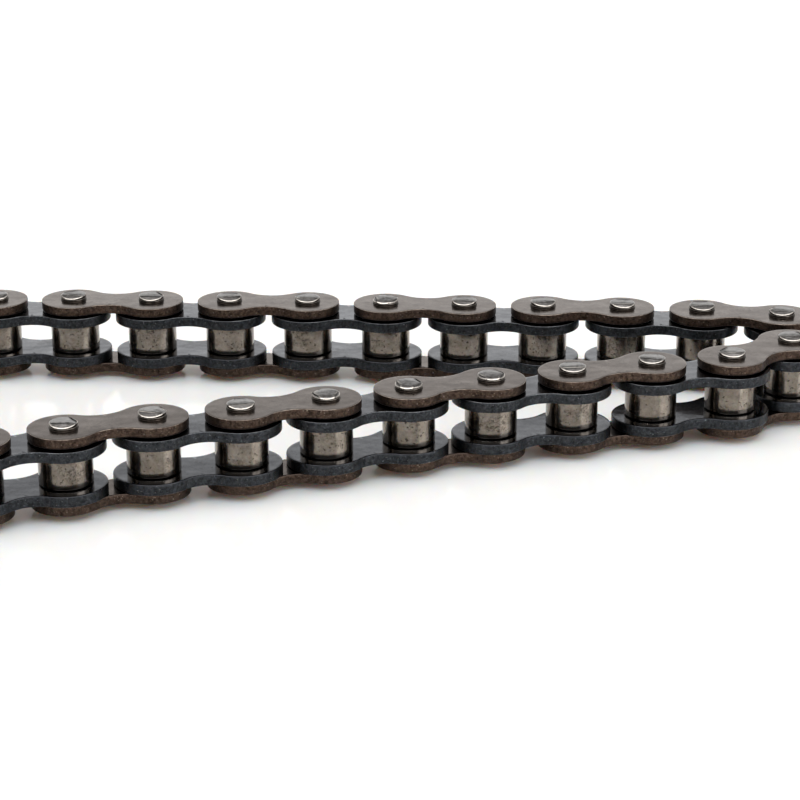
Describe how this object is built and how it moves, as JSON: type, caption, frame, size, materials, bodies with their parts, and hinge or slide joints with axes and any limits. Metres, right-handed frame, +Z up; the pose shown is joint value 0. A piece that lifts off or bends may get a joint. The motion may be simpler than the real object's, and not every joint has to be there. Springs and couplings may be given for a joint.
{
  "type": "roller chain",
  "caption": "Short-pitch roller chain with waisted plates, pins, pressed bushes and free rollers, hinged at every pin and laid on its side in a hairpin.",
  "frame": {"origin": "middle of the chain's bounding box in plan, on the surface that the lower pin ends rest on", "axes": "+X along the straighter run, from the free end to the fold; +Z up, along every pin; +Y from the second run towards the straighter run"},
  "size_m": [0.1636, 0.0792, 0.0132],
  "materials": {
    "inner_link_steel": "satin, blue-black heat-treated oxide",
    "outer_plate_steel": "satin, brown-bronze oxide with bright worn edges",
    "pin_steel": "satin bright steel, peened ends",
    "roller_steel": "satin bright steel with a fine turned grain"
  },
  "bodies": {
    "inner_link_01": {"inner_link_01": "inner_link_steel"},
    "outer_link_01": {"outer_plates_01": "outer_plate_steel", "pins_01": "pin_steel"},
    "inner_link_02": {"inner_link_02": "inner_link_steel"},
    "outer_link_02": {"outer_plates_02": "outer_plate_steel", "pins_02": "pin_steel"},
    "inner_link_03": {"inner_link_03": "inner_link_steel"},
    "outer_link_03": {"outer_plates_03": "outer_plate_steel", "pins_03": "pin_steel"},
    "inner_link_04": {"inner_link_04": "inner_link_steel"},
    "outer_link_04": {"outer_plates_04": "outer_plate_steel", "pins_04": "pin_steel"},
    "inner_link_05": {"inner_link_05": "inner_link_steel"},
    "outer_link_05": {"outer_plates_05": "outer_plate_steel", "pins_05": "pin_steel"},
    "inner_link_06": {"inner_link_06": "inner_link_steel"},
    "outer_link_06": {"outer_plates_06": "outer_plate_steel", "pins_06": "pin_steel"},
    "inner_link_07": {"inner_link_07": "inner_link_steel"},
    "outer_link_07": {"outer_plates_07": "outer_plate_steel", "pins_07": "pin_steel"},
    "inner_link_08": {"inner_link_08": "inner_link_steel"},
    "outer_link_08": {"outer_plates_08": "outer_plate_steel", "pins_08": "pin_steel"},
    "inner_link_09": {"inner_link_09": "inner_link_steel"},
    "outer_link_09": {"outer_plates_09": "outer_plate_steel", "pins_09": "pin_steel"},
    "inner_link_10": {"inner_link_10": "inner_link_steel"},
    "outer_link_10": {"outer_plates_10": "outer_plate_steel", "pins_10": "pin_steel"},
    "inner_link_11": {"inner_link_11": "inner_link_steel"},
    "outer_link_11": {"outer_plates_11": "outer_plate_steel", "pins_11": "pin_steel"},
    "inner_link_12": {"inner_link_12": "inner_link_steel"},
    "outer_link_12": {"outer_plates_12": "outer_plate_steel", "pins_12": "pin_steel"},
    "roller_01": {"roller_01": "roller_steel"},
    "roller_02": {"roller_02": "roller_steel"},
    "roller_03": {"roller_03": "roller_steel"},
    "roller_04": {"roller_04": "roller_steel"},
    "roller_05": {"roller_05": "roller_steel"},
    "roller_06": {"roller_06": "roller_steel"},
    "roller_07": {"roller_07": "roller_steel"},
    "roller_08": {"roller_08": "roller_steel"},
    "roller_09": {"roller_09": "roller_steel"},
    "roller_10": {"roller_10": "roller_steel"},
    "roller_11": {"roller_11": "roller_steel"},
    "roller_12": {"roller_12": "roller_steel"},
    "roller_13": {"roller_13": "roller_steel"},
    "roller_14": {"roller_14": "roller_steel"},
    "roller_15": {"roller_15": "roller_steel"},
    "roller_16": {"roller_16": "roller_steel"},
    "roller_17": {"roller_17": "roller_steel"},
    "roller_18": {"roller_18": "roller_steel"},
    "roller_19": {"roller_19": "roller_steel"},
    "roller_20": {"roller_20": "roller_steel"},
    "roller_21": {"roller_21": "roller_steel"},
    "roller_22": {"roller_22": "roller_steel"},
    "roller_23": {"roller_23": "roller_steel"},
    "roller_24": {"roller_24": "roller_steel"}
  },
  "joints": [
    {"name": "pin_hinge_12", "type": "hinge", "parent": "inner_link_07", "child": "outer_link_06", "pos_m": [0.07593, 0.02447, 0.0066], "axis": [0, 0, -1], "range_deg": [-20, 90]},
    {"name": "pin_hinge_11", "type": "hinge", "parent": "outer_link_06", "child": "inner_link_06", "pos_m": [0.06355, 0.02732, 0.0066], "axis": [0, 0, 1], "range_deg": [-90, 25]},
    {"name": "pin_hinge_10", "type": "hinge", "parent": "inner_link_06", "child": "outer_link_05", "pos_m": [0.05092, 0.02865, 0.0066], "axis": [0, 0, -1], "range_deg": [-25, 90]},
    {"name": "pin_hinge_09", "type": "hinge", "parent": "outer_link_05", "child": "inner_link_05", "pos_m": [0.03825, 0.02954, 0.0066], "axis": [0, 0, 1], "range_deg": [-90, 30]},
    {"name": "pin_hinge_08", "type": "hinge", "parent": "inner_link_05", "child": "outer_link_04", "pos_m": [0.02557, 0.0302, 0.0066], "axis": [0, 0, -1], "range_deg": [-35, 90]},
    {"name": "pin_hinge_07", "type": "hinge", "parent": "outer_link_04", "child": "inner_link_04", "pos_m": [0.0129, 0.03109, 0.0066], "axis": [0, 0, 1], "range_deg": [-90, 40]},
    {"name": "pin_hinge_06", "type": "hinge", "parent": "inner_link_04", "child": "outer_link_03", "pos_m": [0.00023, 0.03197, 0.0066], "axis": [0, 0, -1], "range_deg": [-45, 90]},
    {"name": "pin_hinge_05", "type": "hinge", "parent": "outer_link_03", "child": "inner_link_03", "pos_m": [-0.01245, 0.03264, 0.0066], "axis": [0, 0, 1], "range_deg": [-90, 55]},
    {"name": "pin_hinge_04", "type": "hinge", "parent": "inner_link_03", "child": "outer_link_02", "pos_m": [-0.02514, 0.03308, 0.0066], "axis": [0, 0, -1], "range_deg": [-70, 90]},
    {"name": "pin_hinge_03", "type": "hinge", "parent": "outer_link_02", "child": "inner_link_02", "pos_m": [-0.03783, 0.03375, 0.0066], "axis": [0, 0, 1], "range_deg": [-90, 90]},
    {"name": "pin_hinge_02", "type": "hinge", "parent": "inner_link_02", "child": "outer_link_01", "pos_m": [-0.05053, 0.03375, 0.0066], "axis": [0, 0, -1], "range_deg": [-90, 90]},
    {"name": "pin_hinge_01", "type": "hinge", "parent": "outer_link_01", "child": "inner_link_01", "pos_m": [-0.06323, 0.03375, 0.0066], "axis": [0, 0, -1], "range_deg": [-90, 90]},
    {"name": "pin_hinge_13", "type": "hinge", "parent": "inner_link_07", "child": "outer_link_07", "pos_m": [0.07548, 0.01178, 0.0066], "axis": [0, 0, -1], "range_deg": [-90, 20]},
    {"name": "pin_hinge_14", "type": "hinge", "parent": "outer_link_07", "child": "inner_link_08", "pos_m": [0.06534, 0.00413, 0.0066], "axis": [0, 0, 1], "range_deg": [-25, 90]},
    {"name": "pin_hinge_15", "type": "hinge", "parent": "inner_link_08", "child": "outer_link_08", "pos_m": [0.05296, 0.00128, 0.0066], "axis": [0, 0, -1], "range_deg": [-90, 25]},
    {"name": "pin_hinge_16", "type": "hinge", "parent": "outer_link_08", "child": "inner_link_09", "pos_m": [0.04082, -0.00244, 0.0066], "axis": [0, 0, 1], "range_deg": [-30, 90]},
    {"name": "pin_hinge_17", "type": "hinge", "parent": "inner_link_09", "child": "outer_link_09", "pos_m": [0.02861, -0.00594, 0.0066], "axis": [0, 0, -1], "range_deg": [-90, 35]},
    {"name": "pin_hinge_18", "type": "hinge", "parent": "outer_link_09", "child": "inner_link_10", "pos_m": [0.01647, -0.00965, 0.0066], "axis": [0, 0, 1], "range_deg": [-40, 90]},
    {"name": "pin_hinge_19", "type": "hinge", "parent": "inner_link_10", "child": "outer_link_10", "pos_m": [0.00453, -0.01399, 0.0066], "axis": [0, 0, -1], "range_deg": [-90, 55]},
    {"name": "pin_hinge_20", "type": "hinge", "parent": "outer_link_10", "child": "inner_link_11", "pos_m": [-0.00748, -0.01813, 0.0066], "axis": [0, 0, 1], "range_deg": [-70, 90]},
    {"name": "pin_hinge_21", "type": "hinge", "parent": "inner_link_11", "child": "outer_link_11", "pos_m": [-0.01974, -0.02142, 0.0066], "axis": [0, 0, -1], "range_deg": [-90, 90]},
    {"name": "pin_hinge_22", "type": "hinge", "parent": "outer_link_11", "child": "inner_link_12", "pos_m": [-0.03168, -0.02576, 0.0066], "axis": [0, 0, 1], "range_deg": [-90, 90]},
    {"name": "pin_hinge_23", "type": "hinge", "parent": "inner_link_12", "child": "outer_link_12", "pos_m": [-0.04361, -0.0301, 0.0066], "axis": [0, 0, 1], "range_deg": [-90, 90]},
    {"name": "roller_spin_01", "type": "hinge", "parent": "inner_link_01", "child": "roller_01", "pos_m": [-0.07593, 0.03353, 0.0066], "axis": [0, 0, 1], "continuous": true},
    {"name": "roller_spin_02", "type": "hinge", "parent": "inner_link_01", "child": "roller_02", "pos_m": [-0.06323, 0.03375, 0.0066], "axis": [0, 0, 1], "continuous": true},
    {"name": "roller_spin_03", "type": "hinge", "parent": "inner_link_02", "child": "roller_03", "pos_m": [-0.05053, 0.03375, 0.0066], "axis": [0, 0, 1], "continuous": true},
    {"name": "roller_spin_04", "type": "hinge", "parent": "inner_link_02", "child": "roller_04", "pos_m": [-0.03783, 0.03375, 0.0066], "axis": [0, 0, 1], "continuous": true},
    {"name": "roller_spin_05", "type": "hinge", "parent": "inner_link_03", "child": "roller_05", "pos_m": [-0.02514, 0.03308, 0.0066], "axis": [0, 0, 1], "continuous": true},
    {"name": "roller_spin_06", "type": "hinge", "parent": "inner_link_03", "child": "roller_06", "pos_m": [-0.01245, 0.03264, 0.0066], "axis": [0, 0, 1], "continuous": true},
    {"name": "roller_spin_07", "type": "hinge", "parent": "inner_link_04", "child": "roller_07", "pos_m": [0.00023, 0.03197, 0.0066], "axis": [0, 0, 1], "continuous": true},
    {"name": "roller_spin_08", "type": "hinge", "parent": "inner_link_04", "child": "roller_08", "pos_m": [0.0129, 0.03109, 0.0066], "axis": [0, 0, 1], "continuous": true},
    {"name": "roller_spin_09", "type": "hinge", "parent": "inner_link_05", "child": "roller_09", "pos_m": [0.02557, 0.0302, 0.0066], "axis": [0, 0, 1], "continuous": true},
    {"name": "roller_spin_10", "type": "hinge", "parent": "inner_link_05", "child": "roller_10", "pos_m": [0.03825, 0.02954, 0.0066], "axis": [0, 0, 1], "continuous": true},
    {"name": "roller_spin_11", "type": "hinge", "parent": "inner_link_06", "child": "roller_11", "pos_m": [0.05092, 0.02865, 0.0066], "axis": [0, 0, 1], "continuous": true},
    {"name": "roller_spin_12", "type": "hinge", "parent": "inner_link_06", "child": "roller_12", "pos_m": [0.06355, 0.02732, 0.0066], "axis": [0, 0, 1], "continuous": true},
    {"name": "roller_spin_13", "type": "hinge", "parent": "inner_link_07", "child": "roller_13", "pos_m": [0.07593, 0.02447, 0.0066], "axis": [0, 0, 1], "continuous": true},
    {"name": "roller_spin_14", "type": "hinge", "parent": "inner_link_07", "child": "roller_14", "pos_m": [0.07548, 0.01178, 0.0066], "axis": [0, 0, 1], "continuous": true},
    {"name": "roller_spin_15", "type": "hinge", "parent": "inner_link_08", "child": "roller_15", "pos_m": [0.06534, 0.00413, 0.0066], "axis": [0, 0, 1], "continuous": true},
    {"name": "roller_spin_16", "type": "hinge", "parent": "inner_link_08", "child": "roller_16", "pos_m": [0.05296, 0.00128, 0.0066], "axis": [0, 0, 1], "continuous": true},
    {"name": "roller_spin_17", "type": "hinge", "parent": "inner_link_09", "child": "roller_17", "pos_m": [0.04082, -0.00244, 0.0066], "axis": [0, 0, 1], "continuous": true},
    {"name": "roller_spin_18", "type": "hinge", "parent": "inner_link_09", "child": "roller_18", "pos_m": [0.02861, -0.00594, 0.0066], "axis": [0, 0, 1], "continuous": true},
    {"name": "roller_spin_19", "type": "hinge", "parent": "inner_link_10", "child": "roller_19", "pos_m": [0.01647, -0.00965, 0.0066], "axis": [0, 0, 1], "continuous": true},
    {"name": "roller_spin_20", "type": "hinge", "parent": "inner_link_10", "child": "roller_20", "pos_m": [0.00453, -0.01399, 0.0066], "axis": [0, 0, 1], "continuous": true},
    {"name": "roller_spin_21", "type": "hinge", "parent": "inner_link_11", "child": "roller_21", "pos_m": [-0.00748, -0.01813, 0.0066], "axis": [0, 0, 1], "continuous": true},
    {"name": "roller_spin_22", "type": "hinge", "parent": "inner_link_11", "child": "roller_22", "pos_m": [-0.01974, -0.02142, 0.0066], "axis": [0, 0, 1], "continuous": true},
    {"name": "roller_spin_23", "type": "hinge", "parent": "inner_link_12", "child": "roller_23", "pos_m": [-0.03168, -0.02576, 0.0066], "axis": [0, 0, 1], "continuous": true},
    {"name": "roller_spin_24", "type": "hinge", "parent": "inner_link_12", "child": "roller_24", "pos_m": [-0.04361, -0.0301, 0.0066], "axis": [0, 0, 1], "continuous": true}
  ]
}
